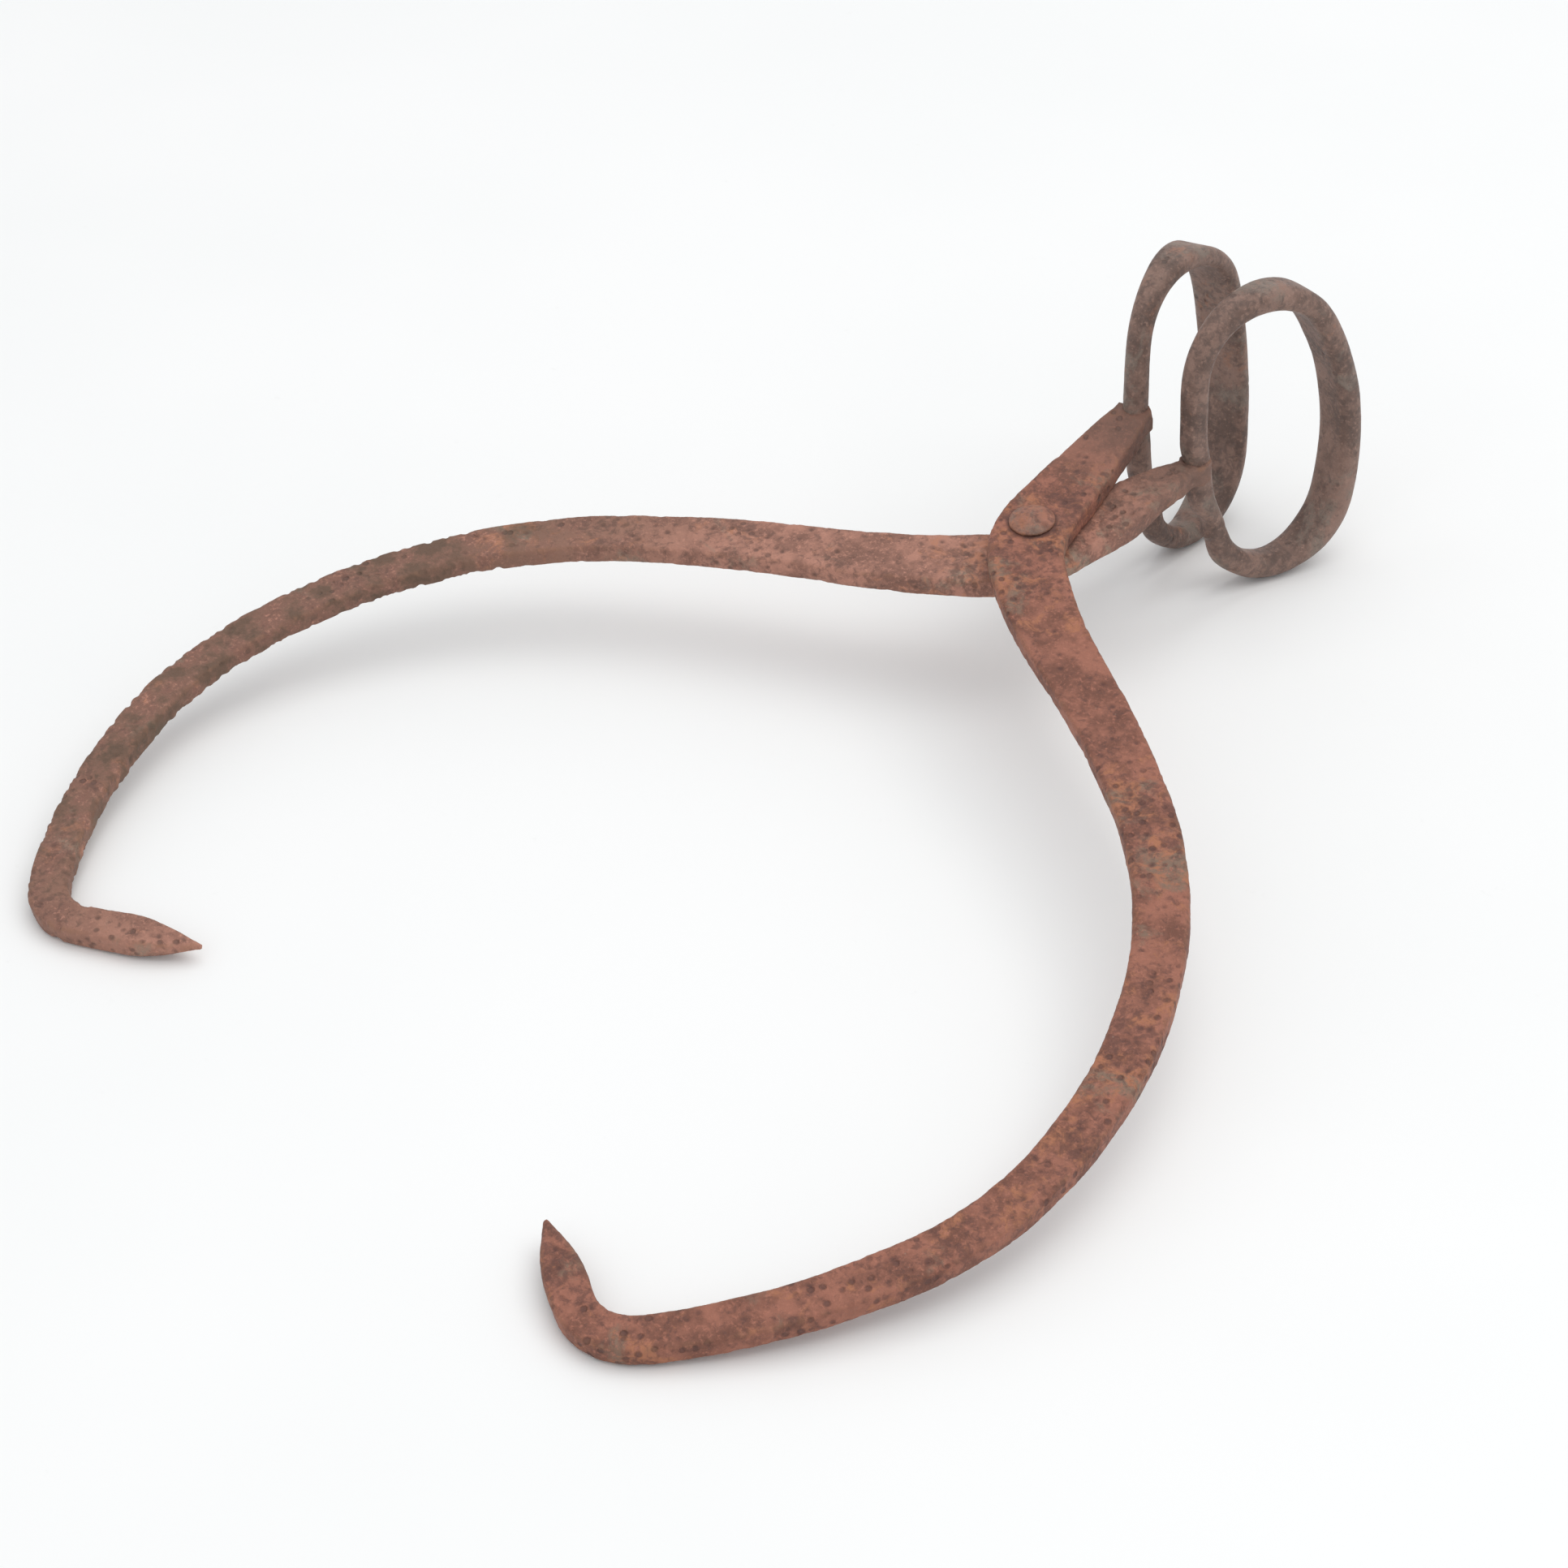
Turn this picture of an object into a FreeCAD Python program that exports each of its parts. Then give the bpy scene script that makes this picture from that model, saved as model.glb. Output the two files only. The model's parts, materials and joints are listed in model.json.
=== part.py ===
# Ice tongs: two hand-forged iron arms, crossed and riveted, each ending in a tall loop handle.
#
# The parts are drawn in a working frame: origin on the rivet's axis, the faces where the two arms
# meet at z = 0, +Y towards the handles. The finished tongs are then laid down the way they rest:
# on both hook corners and on the bottoms of the loops, with the arms rising towards the handles.
# Units are millimetres and degrees.
import FreeCAD, Part
import os
from math import asin, cos, pi, radians, sin, sqrt

V = FreeCAD.Vector

# Driving sizes
EYE_THICKNESS = 8.5          # arm thickness around the rivet and along the tang
BAR_THICKNESS = 7.5          # arm thickness from the neck to the hook
EDGE_ROUNDING = 1.6          # worn corner of the flat bar
ARM_GAP = 0.3                # daylight between the two arms where they cross
POINT_SIZE = 1.6             # blunt end of each hook point
POINT_TAPER = 26.0           # length over which a hook is drawn out to its point

RIVET_RADIUS = 5.0
RIVET_CLEARANCE = 0.06       # radial, in the upper arm only: the rivet is tight in the lower arm
HEAD_RADIUS = 8.2
HEAD_HEIGHT = 2.4
HEAD_EDGE = 0.9              # height of the head's rim
HEAD_CLEARANCE = 0.15        # under the upper head, so that the upper arm turns
CLOSING_HEAD_RADIUS = 7.4

LOOP_BACK_RADIUS = 140.0     # slow curve of the rod side
LOOP_CORNER_RADIUS = 28.0    # top and bottom bends
SECTION_ROUNDING = 0.47      # corner radius of the loops' sections, as a share of their thickness
STRAP_REACH = 1.12           # depth over which the rod widens into the strap, as a share of the loop's

SECTION_STEP = 11.0          # most the bar runs between two of its sections
SECTION_TURN = 9.0           # most it turns between two of its sections
POINT_STEP = 3.5             # the same run, along the hook point

LOFT_DEGREE = 8              # highest degree of the arms' surfaces

REST_TILT = 8.0              # rise of the arms towards the handles
REST_ROLL = 1.6              # the lower arm's hook lies one thickness lower than the upper arm's

# Each arm's centre line, from the end of the tang over the rivet to the hook's point, as tangent
# arcs: length, turn (anticlockwise positive) and the bar's width at the end of the stretch.
UPPER_START = (-12.2, 70.0, -83.0, 15.0)        # x, y, heading, width
UPPER_ARM = [
    (44.5, 4.0, 24.5),       # tang
    (20.5, 0.5, 27.5),       # eye, over the rivet
    (28.5, 40.5, 26.5),      # bend below the eye
    (55.0, 12.5, 21.8),      # neck
    (70.0, -9.0, 19.2),      # shoulder
    (64.0, -20.5, 17.6),     # bow
    (94.5, -30.0, 15.6),
    (52.5, -26.0, 15.4),
    (43.0, -10.5, 14.5),     # shank
    (36.0, -11.0, 13.2),
    (25.0, -74.0, 13.0),     # hook corner
    (33.5, -2.0, 0.0),       # point
]
LOWER_START = (15.2, 70.5, -103.0, 9.0)
LOWER_ARM = [
    (39.5, 10.0, 23.8),
    (22.5, -6.0, 21.5),
    (30.5, -42.0, 26.5),
    (56.5, -12.5, 22.8),
    (70.0, 8.2, 19.3),
    (65.0, 21.3, 17.4),
    (92.5, 30.5, 15.5),
    (54.0, 24.6, 14.8),
    (44.0, 11.3, 14.1),
    (33.0, 14.0, 13.7),
    (22.5, 68.5, 12.8),
    (45.5, 3.3, 0.0),
]
UPPER_SPREAD = 2.6           # how far each tang's end is set away from the other arm
LOWER_SPREAD = 1.2

# Each loop: the centre of its rod at the tang, its heading, lean and tilt, its outside size, the
# diameter of the rod and the section of the strap it widens into at the grip. The two were bent and
# drawn by hand, so they differ a little.
UPPER_LOOP = dict(x=-10.4, y=68.5, centre=-4.9, heading=100.0, lean=5.5, tilt=-5.0,
                  depth=70.6, height=122.0, rod=9.0, strap_width=20.0, strap_thickness=6.4)
LOWER_LOOP = dict(x=14.4, y=72.0, centre=-4.6, heading=76.0, lean=-1.0, tilt=-7.3,
                  depth=74.4, height=121.0, rod=9.8, strap_width=19.0, strap_thickness=9.0)


def unit(angle):
    """Direction in the arm plane at an angle in degrees from +X."""
    return V(cos(radians(angle)), sin(radians(angle)), 0)


def stations(start, stretches):
    """Centre, heading and distance of each section along a chain of tangent arcs."""
    x, y, heading, width = start
    point = V(x, y, 0)
    found = [(point, heading, width, 0.0)]
    travelled = 0.0
    for length, turn, end_width in stretches:
        step = POINT_STEP if end_width == 0.0 else SECTION_STEP
        count = max(2, round(length / step), round(abs(turn) / SECTION_TURN))
        for i in range(1, count + 1):
            part = i / count
            half = radians(turn * part) / 2
            chord = length * part * (sin(half) / half if half else 1.0)
            centre = point + unit(heading + turn * part / 2) * chord
            found.append((centre, heading + turn * part, width + (end_width - width) * part,
                          travelled + length * part))
        point, heading, travelled, width = found[-1][0], heading + turn, travelled + length, end_width
    return found


def rounded_section(centre, across, upward, width, height, rounding):
    """Closed wire: a rectangle with rounded corners, width along across and height along upward."""
    r = min(rounding, 0.49 * width, 0.49 * height)
    a, b = width / 2, height / 2
    k = r * (1 - cos(pi / 4))

    def at(u, v):
        return centre + across * u + upward * v

    corners = [
        (at(a - r, -b), at(a - k, -b + k), at(a, -b + r)),
        (at(a, b - r), at(a - k, b - k), at(a - r, b)),
        (at(-a + r, b), at(-a + k, b - k), at(-a, b - r)),
        (at(-a, -b + r), at(-a + k, -b + k), at(-a + r, -b)),
    ]
    edges = []
    for i, (first, middle, last) in enumerate(corners):
        edges.append(Part.Arc(first, middle, last).toShape())
        edges.append(Part.LineSegment(last, corners[(i + 1) % 4][0]).toShape())
    return Part.Wire(edges)


def make_arm(start, stretches, side, spread):
    """A forged flat bar: side is +1 above the meeting plane and -1 below it.

    Spread is how far the tang's end is bent away from the other arm.
    """
    line = stations(start, stretches)
    total = line[-1][3]
    tang_end = stretches[0][0] + stretches[1][0] + stretches[2][0]
    neck_end = tang_end + stretches[3][0]
    point_width = stretches[-2][2]
    wires = []
    for centre, heading, width, s in line:
        blend = min(1.0, max(0.0, (s - tang_end) / (neck_end - tang_end)))
        thick = EYE_THICKNESS + (BAR_THICKNESS - EYE_THICKNESS) * blend
        middle = thick / 2
        if s > total - stretches[-1][0]:
            width = point_width
        if total - s < POINT_TAPER:
            fade = sin(pi / 2 * (total - s) / POINT_TAPER)
            width = POINT_SIZE + (point_width - POINT_SIZE) * fade
            thick = POINT_SIZE + (thick - POINT_SIZE) * fade
        away = spread * max(0.0, 1 - s / stretches[0][0]) ** 2
        height = side * (ARM_GAP / 2 + middle + away)
        across = unit(heading - 90)
        wires.append(rounded_section(centre + V(0, 0, height), across, V(0, 0, 1), width, thick,
                                     EDGE_ROUNDING))
    return Part.makeLoft(wires, True, False, False, LOFT_DEGREE)


def loop_line(place):
    """A loop's centre line in its own plane, as (along, up) points with their outward angles.

    An oval of tangent arcs: the slow curve at the tang, a bend at the top, the curve of the grip, whose
    radius follows from the others, and a bend at the bottom.
    """
    mean_thickness = (place["rod"] + place["strap_thickness"]) / 2
    a = (place["depth"] - mean_thickness) / 2
    back, bend = LOOP_BACK_RADIUS, LOOP_CORNER_RADIUS
    rise = (place["height"] - mean_thickness) / 2 - bend
    bend_at = back - a - sqrt((back - bend) ** 2 - rise ** 2)
    reach = a - bend_at
    grip = (reach ** 2 + rise ** 2 - bend ** 2) / (2 * (reach - bend))
    back_half = asin(rise / (back - bend))
    grip_half = asin(rise / (grip - bend))
    arcs = [
        (back - a, 0.0, back, pi + back_half, pi - back_half, 6),
        (bend_at, rise, bend, pi - back_half, grip_half, 9),
        (a - grip, 0.0, grip, grip_half, -grip_half, 8),
        (bend_at, -rise, bend, -grip_half, back_half - pi, 9),
    ]
    found = []
    for along, up, radius, first, last, count in arcs:
        for i in range(count):
            angle = first + (last - first) * (i + 0.5) / count
            found.append((along + radius * cos(angle), up + radius * sin(angle), angle))
    return a, found


def make_loop(place):
    """A tall loop: a round rod at the tang that widens into a broad strap at the grip."""
    ahead = unit(place["heading"])
    aside = unit(place["heading"] - 90)
    tilt = radians(place["tilt"])
    up = V(0, 0, cos(tilt)) + aside * sin(tilt)
    normal = ahead.cross(up)
    lean = radians(place["lean"])
    forward = ahead * cos(lean) - up * sin(lean)
    upward = up * cos(lean) + ahead * sin(lean)
    rod, strap_width, strap_thickness = place["rod"], place["strap_width"], place["strap_thickness"]
    a, line = loop_line(place)
    middle = V(place["x"], place["y"], place["centre"]) + ahead * a
    wires = []
    for u, v, angle in line:
        grip = min(1.0, max(0.0, (1 + STRAP_REACH * u / a) / 2))
        grip = grip * grip * (3 - 2 * grip)
        width = rod + (strap_width - rod) * grip
        thick = rod + (strap_thickness - rod) * grip
        outward = forward * cos(angle) + upward * sin(angle)
        wires.append(rounded_section(middle + forward * u + upward * v, normal, outward, width, thick,
                                     SECTION_ROUNDING * thick))
    return Part.makeLoft(wires, True, False, True)


def head_outline(radius, base, side):
    """Half outline of a rivet head, from the shaft's corner out over the rim to the crown."""
    rim = base + side * HEAD_EDGE
    crown = base + side * HEAD_HEIGHT
    dome = HEAD_HEIGHT - HEAD_EDGE
    ball = (radius ** 2 + dome ** 2) / (2 * dome)
    half_way = asin(radius / ball) / 2
    middle = V(ball * sin(half_way), 0, crown - side * ball * (1 - cos(half_way)))
    return [
        Part.LineSegment(V(RIVET_RADIUS, 0, base), V(radius, 0, base)),
        Part.LineSegment(V(radius, 0, base), V(radius, 0, rim)),
        Part.Arc(V(radius, 0, rim), middle, V(0, 0, crown)),
    ]


def make_rivet():
    """One rivet: shallow domed head above the upper arm, narrower closing head under the lower arm."""
    top = ARM_GAP / 2 + EYE_THICKNESS + HEAD_CLEARANCE
    bottom = -ARM_GAP / 2 - EYE_THICKNESS
    lines = head_outline(HEAD_RADIUS, top, 1) + head_outline(CLOSING_HEAD_RADIUS, bottom, -1)
    lines.append(Part.LineSegment(V(RIVET_RADIUS, 0, bottom), V(RIVET_RADIUS, 0, top)))
    lines.append(Part.LineSegment(V(0, 0, bottom - HEAD_HEIGHT), V(0, 0, top + HEAD_HEIGHT)))
    edges = Part.__sortEdges__([line.toShape() for line in lines])
    return Part.Face(Part.Wire(edges)).revolve(V(0, 0, 0), V(0, 0, 1), 360)


def rivet_hole(radius):
    return Part.makeCylinder(radius, 4 * EYE_THICKNESS, V(0, 0, -2 * EYE_THICKNESS))


def laid_down(shapes):
    """Tilt the tongs to their resting attitude, with the box's bottom centre at the origin."""
    turn = FreeCAD.Rotation(V(1, 0, 0), REST_TILT).multiply(FreeCAD.Rotation(V(0, 1, 0), REST_ROLL))
    for shape in shapes.values():
        shape.Placement = FreeCAD.Placement(V(0, 0, 0), turn).multiply(shape.Placement)
    box = FreeCAD.BoundBox()
    for shape in shapes.values():
        box.add(shape.optimalBoundingBox(True))
    shift = V(-(box.XMin + box.XMax) / 2, -(box.YMin + box.YMax) / 2, -box.ZMin)
    for shape in shapes.values():
        shape.translate(shift)
    return shift, turn


def build():
    upper_loop = make_loop(UPPER_LOOP)
    lower_loop = make_loop(LOWER_LOOP)
    upper_arm = make_arm(UPPER_START, UPPER_ARM, 1, UPPER_SPREAD)
    lower_arm = make_arm(LOWER_START, LOWER_ARM, -1, LOWER_SPREAD)
    upper_arm = upper_arm.cut([rivet_hole(RIVET_RADIUS + RIVET_CLEARANCE), upper_loop]).Solids[0]
    lower_arm = lower_arm.cut([rivet_hole(RIVET_RADIUS), lower_loop]).Solids[0]
    return {
        "upper_arm": upper_arm,
        "lower_arm": lower_arm,
        "upper_ring_handle": upper_loop,
        "lower_ring_handle": lower_loop,
        "pivot_rivet": make_rivet(),
    }


def main():
    os.makedirs("parts", exist_ok=True)
    shapes = build()
    shift, turn = laid_down(shapes)
    for name, shape in shapes.items():
        shape.exportStep("parts/%s.step" % name)
        print(name, len(shape.Solids), "valid", shape.isValid(), "mm3 %.0f" % shape.Volume)
    print("hinge axis through", shift, "direction", turn.multVec(V(0, 0, 1)))


main()
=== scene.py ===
# Ice tongs in rusted, hand-forged iron, lying on a pale table. Lengths are in metres, in the row frame.
import json
from math import cos, radians, sin

import bpy
import numpy as np
from mathutils import Matrix, Vector
from mathutils.kdtree import KDTree


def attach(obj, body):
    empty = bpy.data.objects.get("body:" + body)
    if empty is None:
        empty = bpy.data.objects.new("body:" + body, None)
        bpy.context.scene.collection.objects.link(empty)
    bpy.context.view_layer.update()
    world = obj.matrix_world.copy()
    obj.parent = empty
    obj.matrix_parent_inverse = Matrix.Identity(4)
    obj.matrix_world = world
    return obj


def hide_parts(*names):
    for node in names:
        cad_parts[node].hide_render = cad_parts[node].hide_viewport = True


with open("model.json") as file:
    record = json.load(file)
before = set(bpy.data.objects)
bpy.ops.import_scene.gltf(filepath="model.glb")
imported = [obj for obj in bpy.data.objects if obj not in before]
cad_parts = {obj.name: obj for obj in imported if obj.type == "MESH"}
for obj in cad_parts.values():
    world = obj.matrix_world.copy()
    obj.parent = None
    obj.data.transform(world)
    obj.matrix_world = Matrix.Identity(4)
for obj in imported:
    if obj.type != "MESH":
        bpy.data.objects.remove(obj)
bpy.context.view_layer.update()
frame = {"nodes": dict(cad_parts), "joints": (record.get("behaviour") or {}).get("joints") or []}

MM = 0.001

# Camera, at the photograph's viewing angle. Angles are in degrees, the lens and the sensor in mm.
CAMERA_AZIMUTH = 46.54
CAMERA_ELEVATION = 37.14
CAMERA_ROLL = -1.62
CAMERA_DISTANCE = 1.1099
CAMERA_TARGET = Vector((0.0132, -0.0407, 0.030))
SENSOR = 36.0
LENS = 76.65
NEAREST_SEEN = 0.05

# The rivet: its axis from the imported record, and its upper head
HINGE = next(j for j in frame["joints"] if j["name"] == "arm_pivot")
HEAD_RADIUS = 0.0082
HEAD_BASE = 0.0088           # height of the head over the plane where the arms meet
DOME = 0.0012                # how far its middle is raised
RIM_SHADOW_OFFSET = 0.3 * MM   # painted shadow round the head: how far out it is deepest
RIM_SHADOW_WIDTH = 0.8 * MM

# Forge welds, where each tang closes round its loop's rod: the lump's middle and its size
UPPER_WELD = (-0.0145, 0.1670, 0.0685)
LOWER_WELD = (0.0102, 0.1722, 0.0558)
WELD_SIZE = (0.0118, 0.0118, 0.0082)

# Where the rust and the painted shade change along the arms
HANDLED_FROM = 0.118         # +Y from which the tangs turn as brown as the loops
HANDLED_TO = 0.166
HOOK_SHADE_FROM = 0.090       # -X from which painted shade darkens the lower arm towards its hook
HOOK_SHADE_TO = 0.170
POINT_ENDS = 0.125           # |X| within which the hooks' points lie
POINTS_BEFORE = -0.15        # Y below which they lie
BOWS_BEFORE = -0.02          # Y below which the lower arm's edge is heavily nicked

# Sizes of the even quads, final and quick
ARM_CELLS = (0.62 * MM, 1.0 * MM)
LOOP_CELLS = (0.60 * MM, 0.9 * MM)
RIVET_CELL = 0.28 * MM

# Hammer dents, coarse to fine: how broad they are, how deep, and how many finer octaves they carry
ARM_DENTS = ((14 * MM, 0.24 * MM, 0), (4.5 * MM, 0.16 * MM, 2), (1.6 * MM, 0.09 * MM, 1))
LOOP_DENTS = ((18 * MM, 0.20 * MM, 0), (5.0 * MM, 0.06 * MM, 2), (1.5 * MM, 0.03 * MM, 1))
RIVET_DENTS = ((4.5 * MM, 0.16 * MM, 0), (1.3 * MM, 0.05 * MM, 2))

SHARP_EDGE = 0.14 * MM       # ridge value above which a vertex is on an edge
FLAT_FACE = 0.05 * MM        # and below which it is on a flat face

SEED = 11                    # of the first piece; each later piece takes the next one

HANDLED_BROWN = (0.170, 0.108, 0.084)
# Painted shade: the lower arm's colour darkened towards its hook
HOOK_SHADE_BROWN = (0.100, 0.066, 0.042)
PALE_SPECK = (0.30, 0.21, 0.165)
# Rubbed edges: lighter iron where worn, and a painted highlight along the edges
RUBBED_IRON_AND_HIGHLIGHT = (0.30, 0.150, 0.088)

TABLE_SIZE = 8.0
SKY_COLOUR = (0.96, 0.98, 1.0, 1.0)
SKY_STRENGTH = 0.75


# ---------------------------------------------------------------- meshes

def applied(obj):
    """Replace obj's mesh by what its modifiers make of it."""
    depsgraph = bpy.context.evaluated_depsgraph_get()
    mesh = bpy.data.meshes.new_from_object(obj.evaluated_get(depsgraph))
    obj.modifiers.clear()
    obj.data = mesh
    return obj


def copied(name, node):
    """A free copy of a CAD node's mesh."""
    obj = bpy.data.objects.new(name, frame["nodes"][node].data.copy())
    obj.data.materials.clear()
    bpy.context.scene.collection.objects.link(obj)
    return obj


def remeshed(obj, cell, smoothing):
    """Even quads of about one cell, with the stair steps smoothed away."""
    remesh = obj.modifiers.new("even", "REMESH")
    remesh.mode = "VOXEL"
    remesh.voxel_size = cell
    remesh.adaptivity = 0.0
    smooth = obj.modifiers.new("smooth", "SMOOTH")
    smooth.factor = 0.5
    smooth.iterations = smoothing
    return applied(obj)


def dented(obj, dents):
    """Uneven the surface along its normals, with a layer of bumps for each of the dents."""
    for scale, depth, octaves in dents:
        texture = bpy.data.textures.new("dents", "CLOUDS")
        texture.noise_scale = scale
        texture.noise_depth = octaves
        displace = obj.modifiers.new("dents", "DISPLACE")
        displace.texture = texture
        displace.texture_coords = "LOCAL"
        displace.strength = 2 * depth
        displace.mid_level = 0.5
    return applied(obj)


def cell_of(sizes):
    """The final size of the quads."""
    final, quick = sizes
    return final


def points_of(obj):
    co = np.empty(len(obj.data.vertices) * 3)
    obj.data.vertices.foreach_get("co", co)
    return co.reshape(-1, 3)


def normals_of(obj):
    found = np.empty(len(obj.data.vertices) * 3)
    obj.data.vertices.foreach_get("normal", found)
    return found.reshape(-1, 3)


def set_points(obj, co):
    obj.data.vertices.foreach_set("co", co.astype(np.float32).ravel())
    obj.data.update()


def edge_ends(obj):
    ends = np.empty(len(obj.data.edges) * 2, dtype=np.int32)
    obj.data.edges.foreach_get("vertices", ends)
    return ends.reshape(-1, 2)


def neighbour_mean(values, ends):
    """Mean of each vertex's neighbours, for an array of values with one row per vertex."""
    total = np.zeros_like(values)
    count = np.zeros(len(values))
    for a, b in ((0, 1), (1, 0)):
        np.add.at(total, ends[:, a], values[ends[:, b]])
        np.add.at(count, ends[:, a], 1.0)
    count = np.maximum(count, 1.0)
    return total / (count[:, None] if values.ndim == 2 else count)


def ridge(obj, spread=6):
    """How sharply each vertex stands out from its surroundings: above 0 on edges, below 0 in creases."""
    ends = edge_ends(obj)
    co = points_of(obj)
    soft = co
    for _ in range(spread):
        soft = neighbour_mean(soft, ends)
    value = np.einsum("ij,ij->i", co - soft, normals_of(obj))
    for _ in range(2):
        value = neighbour_mean(value, ends)
    return value


def standing_out(obj, scale):
    """The ridge value against the piece's usual one, from -1 to 1."""
    value = ridge(obj)
    return np.clip((value - np.median(value)) / scale, -1, 1)


def rising(values, low, high):
    """0 up to low, 1 from high on and even in between."""
    return np.clip((values - low) / (high - low), 0, 1)


def keep_value(obj, name, value):
    """Store one number per vertex, for the materials to read."""
    attribute = obj.data.attributes.new(name, "FLOAT", "POINT")
    attribute.data.foreach_set("value", value.astype(np.float32))


def pitted(obj, count, radii, depth, rng, where=None):
    """Sink round pits into the surface. Returns how deep each vertex lies in a pit, from 0 to 1."""
    co = points_of(obj)
    out = normals_of(obj)
    tree = KDTree(len(co))
    for i, p in enumerate(co):
        tree.insert(p, i)
    tree.balance()
    chosen = np.arange(len(co)) if where is None else np.flatnonzero(where)
    sunk = np.zeros(len(co))
    if len(chosen) == 0:
        return sunk
    centres = rng.choice(chosen, count)
    sizes = rng.uniform(radii[0], radii[1], count)
    for centre, radius in zip(centres, sizes):
        normal = out[centre]
        for _, i, distance in tree.find_range(co[centre], radius):
            if out[i] @ normal > 0.2:
                sunk[i] = max(sunk[i], (1 - (distance / radius) ** 2) ** 1.5 * radius / radii[1])
    set_points(obj, co - out * (sunk * depth)[:, None])
    return sunk


def notched(obj, edge, count, radius, depth, rng):
    """Nick the edges, where edge is the mask of their vertices, as a file or hammer leaves them."""
    return pitted(obj, count, (0.6 * radius, radius), depth, rng, edge)


def finished(obj, material, body, node):
    """Shade a piece smooth, give it its material and let it stand for its CAD node."""
    obj.data.materials.clear()
    obj.data.materials.append(material)
    obj.data.polygons.foreach_set("use_smooth", np.ones(len(obj.data.polygons), dtype=bool))
    obj.data.update()
    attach(obj, body)
    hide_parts(node)
    return obj


# ---------------------------------------------------------------- materials

class Tree:
    """Short ways to add shader nodes."""

    def __init__(self, name):
        self.material = bpy.data.materials.new(name)
        self.material.use_nodes = True
        self.tree = self.material.node_tree
        self.shader = self.tree.nodes["Principled BSDF"]
        self.place = self.add("ShaderNodeTexCoord").outputs["Object"]

    def add(self, kind):
        return self.tree.nodes.new(kind)

    def link(self, source, target):
        if isinstance(source, (int, float, tuple)):
            target.default_value = source
        else:
            self.tree.links.new(source, target)

    def noise(self, scale, detail=3.0, roughness=0.55, distortion=0.0):
        node = self.add("ShaderNodeTexNoise")
        self.link(self.place, node.inputs["Vector"])
        node.inputs["Scale"].default_value = scale
        node.inputs["Detail"].default_value = detail
        node.inputs["Roughness"].default_value = roughness
        node.inputs["Distortion"].default_value = distortion
        return node.outputs["Fac"]

    def spots(self, scale):
        node = self.add("ShaderNodeTexVoronoi")
        self.link(self.place, node.inputs["Vector"])
        node.inputs["Scale"].default_value = scale
        return node.outputs["Distance"]

    def ramp(self, value, low, high):
        """0 below low, 1 above high; with low above high it falls instead."""
        node = self.add("ShaderNodeMapRange")
        node.interpolation_type = "SMOOTHSTEP"
        falling = low > high
        self.link(value, node.inputs["Value"])
        node.inputs["From Min"].default_value = min(low, high)
        node.inputs["From Max"].default_value = max(low, high)
        node.inputs["To Min"].default_value = 1.0 if falling else 0.0
        node.inputs["To Max"].default_value = 0.0 if falling else 1.0
        return node.outputs["Result"]

    def math(self, kind, a, b):
        node = self.add("ShaderNodeMath")
        node.operation = kind
        self.link(a, node.inputs[0])
        self.link(b, node.inputs[1])
        return node.outputs[0]

    def mix(self, amount, a, b):
        """Colour a where amount is 0 and b where it is 1."""
        node = self.add("ShaderNodeMix")
        node.data_type = "RGBA"
        self.link(amount, node.inputs["Factor"])
        for value, key in ((a, "A"), (b, "B")):
            socket = next(s for s in node.inputs if s.name == key and s.type == "RGBA")
            self.link(value + (1.0,) if isinstance(value, tuple) else value, socket)
        return next(s for s in node.outputs if s.type == "RGBA")

    def attribute(self, name):
        node = self.add("ShaderNodeAttribute")
        node.attribute_name = name
        return node.outputs["Fac"]

    def layer(self, colour, over, where, strength=1.0):
        """Lay the colour over on top, where a mask from 0 to 1 says and as densely as strength says."""
        if strength < 1.0:
            where = self.math("MULTIPLY", where, strength)
        return self.mix(where, colour, over)

    def clustered(self, fine, broad, share):
        """A fine noise that rises in broad patches."""
        return self.math("ADD", fine, self.math("MULTIPLY", broad, share))

    def bump(self, height, distance, strength, normal=None):
        node = self.add("ShaderNodeBump")
        self.link(height, node.inputs["Height"])
        node.inputs["Distance"].default_value = distance
        node.inputs["Strength"].default_value = strength
        if normal is not None:
            self.link(normal, node.inputs["Normal"])
        return node.outputs["Normal"]


def shaded(colour, factor):
    """A colour made darker or lighter by a factor."""
    return tuple(c * factor for c in colour)


def mottled(t, ground):
    """The ground tone, uneven between a darker and a lighter shade."""
    mottling = t.ramp(t.noise(75.0, detail=7.0, roughness=0.64), 0.38, 0.62)
    return t.mix(mottling, shaded(ground, 0.62), shaded(ground, 1.18))


def patched(t, colour, dull, share):
    """Dull grey-brown patches; a larger share covers more."""
    patches = t.noise(32.0, detail=7.0, roughness=0.64, distortion=0.5)
    return t.layer(colour, dull, t.ramp(patches, 0.62 - share, 0.72 - share))


def bloomed(t, colour, bloom, share):
    """Orange blooms of fresher rust, in clusters."""
    fine = t.noise(110.0, detail=7.0, roughness=0.68, distortion=0.6)
    blooms = t.clustered(fine, t.noise(16.0, detail=2.0), 0.5)
    return t.layer(colour, bloom, t.ramp(blooms, 0.86 - share, 1.00 - share))


def stained(t, colour, dark):
    """Small dark stains, in clusters."""
    fine = t.noise(330.0, detail=7.0, roughness=0.68, distortion=0.4)
    stains = t.clustered(fine, t.noise(28.0, detail=2.0), 0.45)
    return t.layer(colour, dark, t.ramp(stains, 0.71, 0.88), strength=0.60)


def freckles(t, share):
    """Mask of round dark freckles, which only some places have."""
    places = t.ramp(t.noise(34.0, detail=3.0), 0.56 - share, 0.66 - share)
    return t.math("MULTIPLY", t.ramp(t.spots(230.0), 0.34, 0.14), places)


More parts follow.
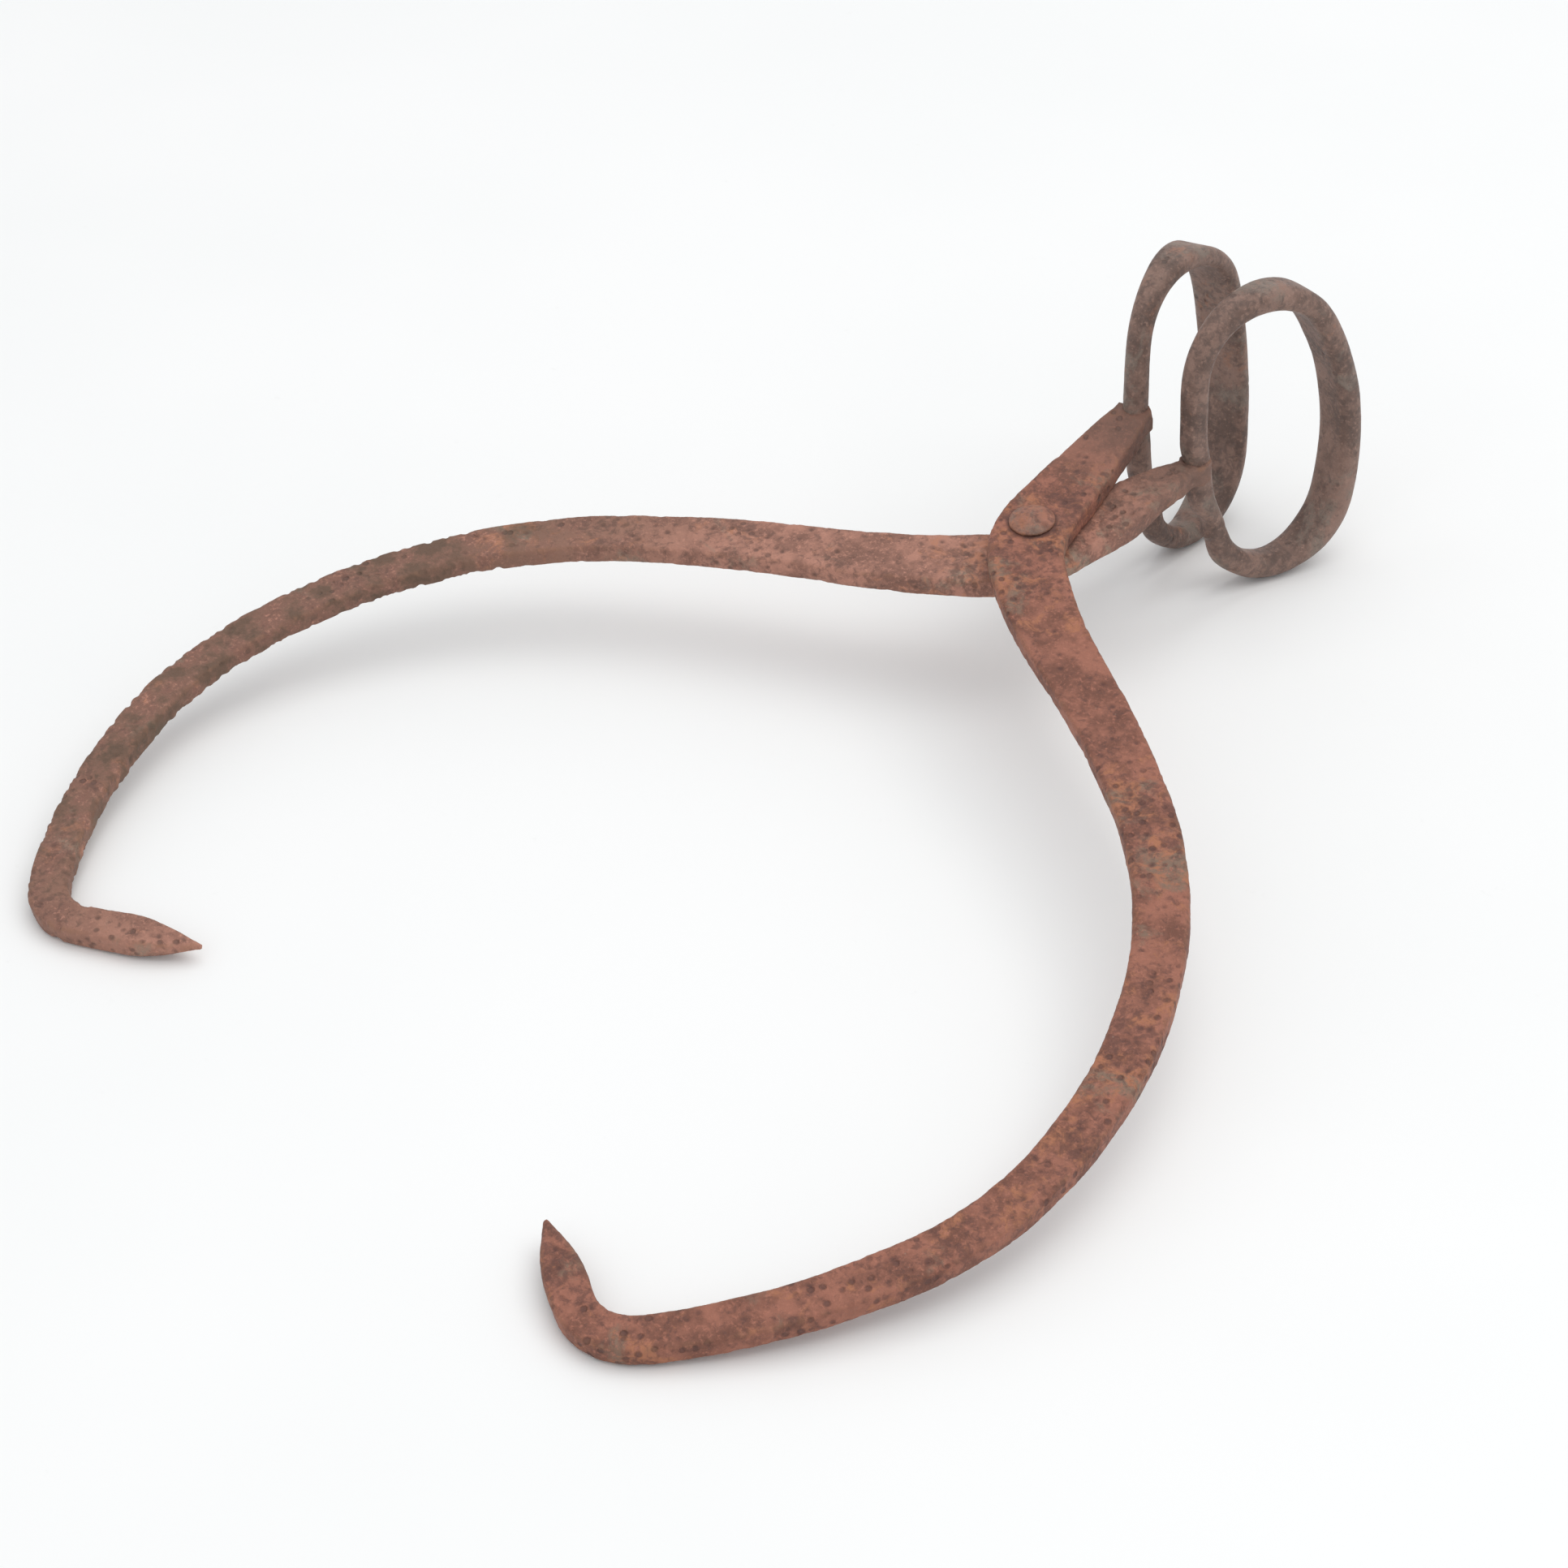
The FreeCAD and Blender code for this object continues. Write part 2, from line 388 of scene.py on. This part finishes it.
def speckled(t, colour):
    """A scatter of pale specks."""
    places = t.ramp(t.noise(45.0, detail=2.0), 0.56, 0.62)
    specks = t.math("MULTIPLY", t.ramp(t.spots(260.0), 0.09, 0.05), places)
    return t.layer(colour, PALE_SPECK, specks, strength=0.6)


def aged_and_painted_light(t, colour, dark):
    """Brown where hands reach and rubbed edges, with painted light: a painted highlight along the rubbed
    edges, painted shade darkening the lower arm towards its hook, and painted shade in the creases.
    """
    colour = t.layer(colour, HANDLED_BROWN, t.attribute("handled"), strength=0.70)
    # Painted shade, uneven, darkening the lower arm towards its hook
    uneven = t.ramp(t.noise(75.0, detail=6.0, roughness=0.65), 0.36, 0.60)
    painted_hook_shade = t.math("MULTIPLY", t.attribute("hook_shade"), uneven)
    colour = t.layer(colour, HOOK_SHADE_BROWN, painted_hook_shade, strength=0.85)
    # Rubbed edges, lighter: partly wear, partly a painted highlight along the edges
    rub_and_highlight_patches = t.ramp(t.noise(120.0, detail=5.0, roughness=0.6), 0.38, 0.58)
    rubbed_and_highlight = t.math("MULTIPLY", t.ramp(t.attribute("ridge"), 0.22, 0.70), rub_and_highlight_patches)
    colour = t.layer(colour, RUBBED_IRON_AND_HIGHLIGHT, rubbed_and_highlight, strength=0.55)
    # Painted shade in the creases
    return t.layer(colour, dark, t.ramp(t.attribute("ridge"), -0.12, -0.6), strength=0.7)


def rust(name, ground, bloom, dark, dull, bloom_share, dull_share, pit_share, roughness=0.62):
    """Old rust: mottled ground with orange blooms, dull grey-brown patches, dark pits and rubbed edges,
    with painted light: a painted highlight along the rubbed edges, painted shade in creases and towards
    the lower arm's hook, and a painted shadow round the rivet's head.
    """
    t = Tree(name)
    grains = t.noise(640.0, detail=5.0, roughness=0.7)
    freckled = freckles(t, pit_share)
    colour = patched(t, mottled(t, ground), dull, dull_share)
    colour = bloomed(t, colour, bloom, bloom_share)
    colour = t.layer(colour, shaded(ground, 1.45), t.ramp(grains, 0.50, 0.70), strength=0.85)
    colour = stained(t, colour, dark)
    colour = t.layer(colour, dark, freckled, strength=0.72)
    # Dark pits, and on the arms the painted shadow round the rivet's head
    colour = t.layer(colour, dark, t.attribute("pits_and_rim_shadow"), strength=0.75)
    colour = aged_and_painted_light(t, speckled(t, colour), dark)
    t.link(colour, t.shader.inputs["Base Color"])
    t.shader.inputs["Roughness"].default_value = roughness
    t.shader.inputs["Specular IOR Level"].default_value = 0.35
    scale = t.noise(260.0, detail=6.0, roughness=0.65)
    fine = t.bump(grains, distance=0.0004, strength=0.9)
    coarse = t.bump(scale, distance=0.0009, strength=0.8, normal=fine)
    sunk = t.bump(t.math("SUBTRACT", 1.0, freckled), distance=0.0007, strength=0.8, normal=coarse)
    t.link(sunk, t.shader.inputs["Normal"])
    return t.material


def table_top():
    """Matt white board, very slightly uneven in tone."""
    t = Tree("table_white")
    colour = t.mix(t.ramp(t.noise(3.0, detail=3.0), 0.3, 0.7), (0.90, 0.905, 0.90), (0.925, 0.925, 0.92))
    scuffs = t.ramp(t.noise(60.0, detail=6.0, roughness=0.7), 0.66, 0.74)
    colour = t.layer(colour, (0.84, 0.84, 0.83), scuffs, strength=0.35)
    t.link(colour, t.shader.inputs["Base Color"])
    t.shader.inputs["Roughness"].default_value = 0.55
    t.shader.inputs["Specular IOR Level"].default_value = 0.25
    return t.material


UPPER_RUST = rust("upper_arm_rust", ground=(0.300, 0.120, 0.080), bloom=(0.410, 0.165, 0.088),
                  dark=(0.100, 0.045, 0.038), dull=(0.235, 0.152, 0.108),
                  bloom_share=0.06, dull_share=0.07, pit_share=0.12)
LOWER_RUST = rust("lower_arm_rust", ground=(0.385, 0.185, 0.134), bloom=(0.470, 0.205, 0.122),
                  dark=(0.130, 0.068, 0.053), dull=(0.305, 0.216, 0.160),
                  bloom_share=0.05, dull_share=0.06, pit_share=0.06)
LOOP_RUST = rust("loop_rust", ground=(0.235, 0.145, 0.114), bloom=(0.310, 0.158, 0.106),
                 dark=(0.098, 0.066, 0.056), dull=(0.225, 0.174, 0.142),
                 bloom_share=0.01, dull_share=0.10, pit_share=-0.02, roughness=0.46)
RIVET_RUST = rust("rivet_rust", ground=(0.300, 0.128, 0.086), bloom=(0.370, 0.155, 0.090),
                  dark=(0.110, 0.055, 0.045), dull=(0.240, 0.160, 0.120),
                  bloom_share=0.04, dull_share=0.10, pit_share=-0.05, roughness=0.50)


# ---------------------------------------------------------------- the tongs

def nicked(arm, rng):
    """Nick an arm's edges: deeply along the lower arm's bow, lightly elsewhere, never at the point."""
    edges = ridge(arm) > SHARP_EDGE
    co = points_of(arm)
    point = np.abs(co[:, 0]) < POINT_ENDS
    hook_side = (co[:, 1] < BOWS_BEFORE) & ~point & (co[:, 0] < 0)
    notched(arm, edges & hook_side, count=300, radius=2.1 * MM, depth=0.75 * MM, rng=rng)
    rest = edges & ~(point & (co[:, 1] < POINTS_BEFORE))
    notched(arm, rest, count=130, radius=2.6 * MM, depth=0.28 * MM, rng=rng)


def forged_arm(name, node, body, seed, weld, material):
    """One arm: flat forged bar with hammer dents, rust pits and nicked edges.

    Its tang closes round the loop's rod in a forge weld.
    """
    rng = np.random.default_rng(seed)
    arm = copied(name, node)
    welded(arm, weld)
    arm = dented(remeshed(arm, cell_of(ARM_CELLS), smoothing=1), ARM_DENTS)
    nicked(arm, rng)
    flat = ridge(arm) < FLAT_FACE
    sunk = pitted(arm, count=260, radii=(0.6 * MM, 1.7 * MM), depth=0.42 * MM, rng=rng, where=flat)
    co = points_of(arm)
    # Pits, and the painted shadow round the rivet's head, in one mask
    keep_value(arm, "pits_and_rim_shadow", np.maximum(sunk, rivet_rim_shadow(co)))
    keep_value(arm, "ridge", standing_out(arm, 0.4 * MM))
    keep_value(arm, "handled", rising(co[:, 1], HANDLED_FROM, HANDLED_TO))
    # Where painted shade darkens the lower arm towards its hook
    keep_value(arm, "hook_shade", rising(-co[:, 0], HOOK_SHADE_FROM, HOOK_SHADE_TO))
    return finished(arm, material, body, node)


def from_rivet(co):
    """Each point's distance from the rivet's axis, and its place along the axis."""
    axis = np.array(HINGE["axis"])
    away = co - np.array(HINGE["pos_m"])
    along = away @ axis
    return np.linalg.norm(away - along[:, None] * axis, axis=1), along


def rivet_rim_shadow(co):
    """Painted shadow round the rivet's head on the arms: 1 along its rim, 0 away from it."""
    across, _ = from_rivet(co)
    return np.exp(-((across - HEAD_RADIUS - RIM_SHADOW_OFFSET) / RIM_SHADOW_WIDTH) ** 2)


def domed(rivet):
    """Raise the middle of the upper head, as a hammer leaves it."""
    co = points_of(rivet)
    across, along = from_rivet(co)
    crown = np.clip(1 - (across / HEAD_RADIUS) ** 2, 0, 1) * (along > HEAD_BASE)
    set_points(rivet, co + np.array(HINGE["axis"]) * (crown * DOME)[:, None])


def welded(arm, weld):
    """Add the lump of the forge weld round the rod to an arm's mesh, before it is remeshed."""
    bpy.ops.mesh.primitive_cylinder_add(vertices=48, radius=1.0, depth=2.0)
    lump = bpy.context.object
    lean = Vector(HINGE["axis"]).to_track_quat("Z", "Y").to_matrix().to_4x4()
    size = Matrix.Diagonal(Vector(WELD_SIZE) / 2).to_4x4()
    lump.data.transform(Matrix.Translation(Vector(weld)) @ lean @ size)
    with bpy.context.temp_override(active_object=arm, selected_editable_objects=[arm, lump]):
        bpy.ops.object.join()


def forged_loop(name, node, body, seed):
    """One loop handle: rounder and smoother than the arms, worn by hands."""
    rng = np.random.default_rng(seed)
    loop = dented(remeshed(copied(name, node), cell_of(LOOP_CELLS), smoothing=8), LOOP_DENTS)
    sunk = pitted(loop, count=70, radii=(0.5 * MM, 1.2 * MM), depth=0.22 * MM, rng=rng)
    keep_value(loop, "pits_and_rim_shadow", sunk)
    keep_value(loop, "ridge", standing_out(loop, 0.5 * MM))
    return finished(loop, LOOP_RUST, body, node)


def forged_rivet(name, node, body, seed):
    """The rivet, with both its heads hammered out of round."""
    rng = np.random.default_rng(seed)
    rivet = dented(remeshed(copied(name, node), RIVET_CELL, smoothing=3), RIVET_DENTS)
    domed(rivet)
    sunk = pitted(rivet, count=40, radii=(0.4 * MM, 1.0 * MM), depth=0.15 * MM, rng=rng)
    keep_value(rivet, "pits_and_rim_shadow", sunk * 0.6)
    keep_value(rivet, "ridge", standing_out(rivet, 0.2 * MM))
    return finished(rivet, RIVET_RUST, body, node)


def tongs():
    forged_arm("upper_arm_forged", "upper_arm", "upper_half", SEED, UPPER_WELD, UPPER_RUST)
    forged_arm("lower_arm_forged", "lower_arm", "lower_half", SEED + 1, LOWER_WELD, LOWER_RUST)
    forged_loop("upper_loop_forged", "upper_ring_handle", "upper_half", SEED + 2)
    forged_loop("lower_loop_forged", "lower_ring_handle", "lower_half", SEED + 3)
    forged_rivet("pivot_rivet_forged", "pivot_rivet", "lower_half", SEED + 4)


# ---------------------------------------------------------------- the studio

def table():
    bpy.ops.mesh.primitive_plane_add(size=TABLE_SIZE, location=(0, 0, 0))
    top = bpy.context.object
    top.name = "table_top"
    top.data.materials.append(table_top())


def direction(azimuth, elevation):
    """Unit vector from the tongs towards an azimuth and an elevation, in degrees."""
    a, e = radians(azimuth), radians(elevation)
    return Vector((sin(a) * cos(e), -cos(a) * cos(e), sin(e)))


def softbox(name, azimuth, elevation, distance, size, power, tint):
    """A square area light that looks at the tongs."""
    light = bpy.data.lights.new(name, "AREA")
    light.shape = "SQUARE"
    light.size = size
    light.energy = power
    light.color = tint
    back = direction(azimuth, elevation)
    obj = bpy.data.objects.new(name, light)
    obj.location = back * distance
    obj.rotation_euler = back.to_track_quat("Z", "Y").to_euler()
    bpy.context.scene.collection.objects.link(obj)


def lighting():
    world = bpy.data.worlds.new("studio")
    world.use_nodes = True
    sky = world.node_tree.nodes["Background"]
    sky.inputs["Color"].default_value = SKY_COLOUR
    sky.inputs["Strength"].default_value = SKY_STRENGTH
    bpy.context.scene.world = world
    softbox("overhead", azimuth=150.0, elevation=72.0, distance=3.2, size=3.6, power=50.0,
            tint=(1.0, 0.985, 0.965))
    softbox("front", azimuth=20.0, elevation=40.0, distance=2.6, size=1.4, power=2.5,
            tint=(1.0, 0.98, 0.96))


def camera():
    back = direction(CAMERA_AZIMUTH, CAMERA_ELEVATION)
    look = back.to_track_quat("Z", "Y").to_matrix().to_4x4()
    data = bpy.data.cameras.new("camera")
    data.sensor_width = SENSOR
    data.lens = LENS
    data.clip_start = NEAREST_SEEN
    obj = bpy.data.objects.new("camera", data)
    roll = Matrix.Rotation(radians(CAMERA_ROLL), 4, "Z")
    obj.matrix_world = Matrix.Translation(CAMERA_TARGET + back * CAMERA_DISTANCE) @ look @ roll
    bpy.context.scene.collection.objects.link(obj)
    bpy.context.scene.camera = obj


tongs()
table()
lighting()
camera()
bpy.context.scene.view_settings.view_transform = "Standard"
